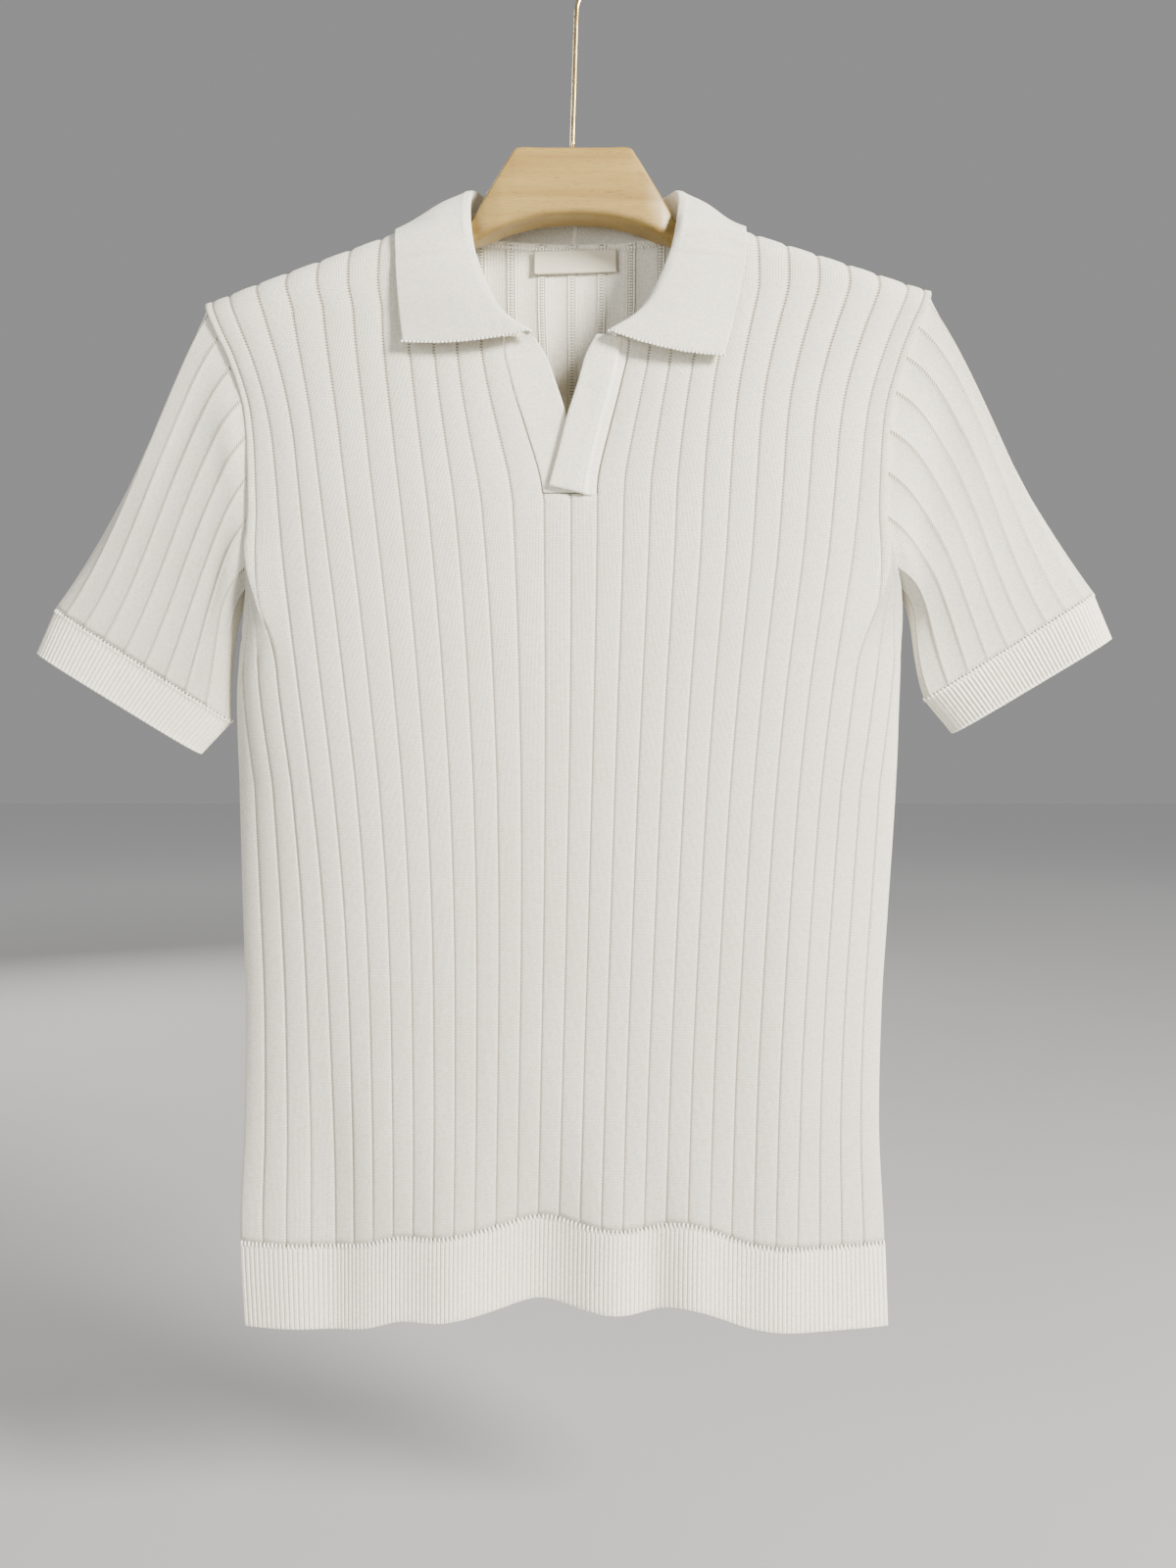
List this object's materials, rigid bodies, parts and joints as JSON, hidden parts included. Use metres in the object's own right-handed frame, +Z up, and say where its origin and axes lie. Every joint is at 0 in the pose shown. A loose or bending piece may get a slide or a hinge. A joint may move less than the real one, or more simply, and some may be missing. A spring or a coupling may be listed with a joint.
{
  "type": "polo shirt on a wooden hanger",
  "caption": "short-sleeved wide-rib knitted polo shirt with a flat collar and an open two-band placket, hung on a shaped wooden hanger with a wire hook",
  "frame": {"origin": "inner top of the hanger's hook, where a rail carries it", "axes": "+Z up, -Y out of the shirt's front, +X to the right seen from the front"},
  "size_m": [0.65, 0.0657, 0.8484],
  "materials": {
    "knit": "soft matte cotton knit",
    "label": "smooth woven tape",
    "wood": "satin beech",
    "wire": "polished"
  },
  "bodies": {
    "root": {"front_panel": "knit", "back_panel": "knit", "sleeve_left": "knit", "sleeve_right": "knit", "cuff_left": "knit", "cuff_right": "knit", "hem_band_front": "knit", "hem_band_back": "knit", "collar": "knit", "placket_over": "knit", "placket_under": "knit", "neck_label": "label", "hanger_wood": "wood", "hanger_hook": "wire"}
  },
  "joints": []
}
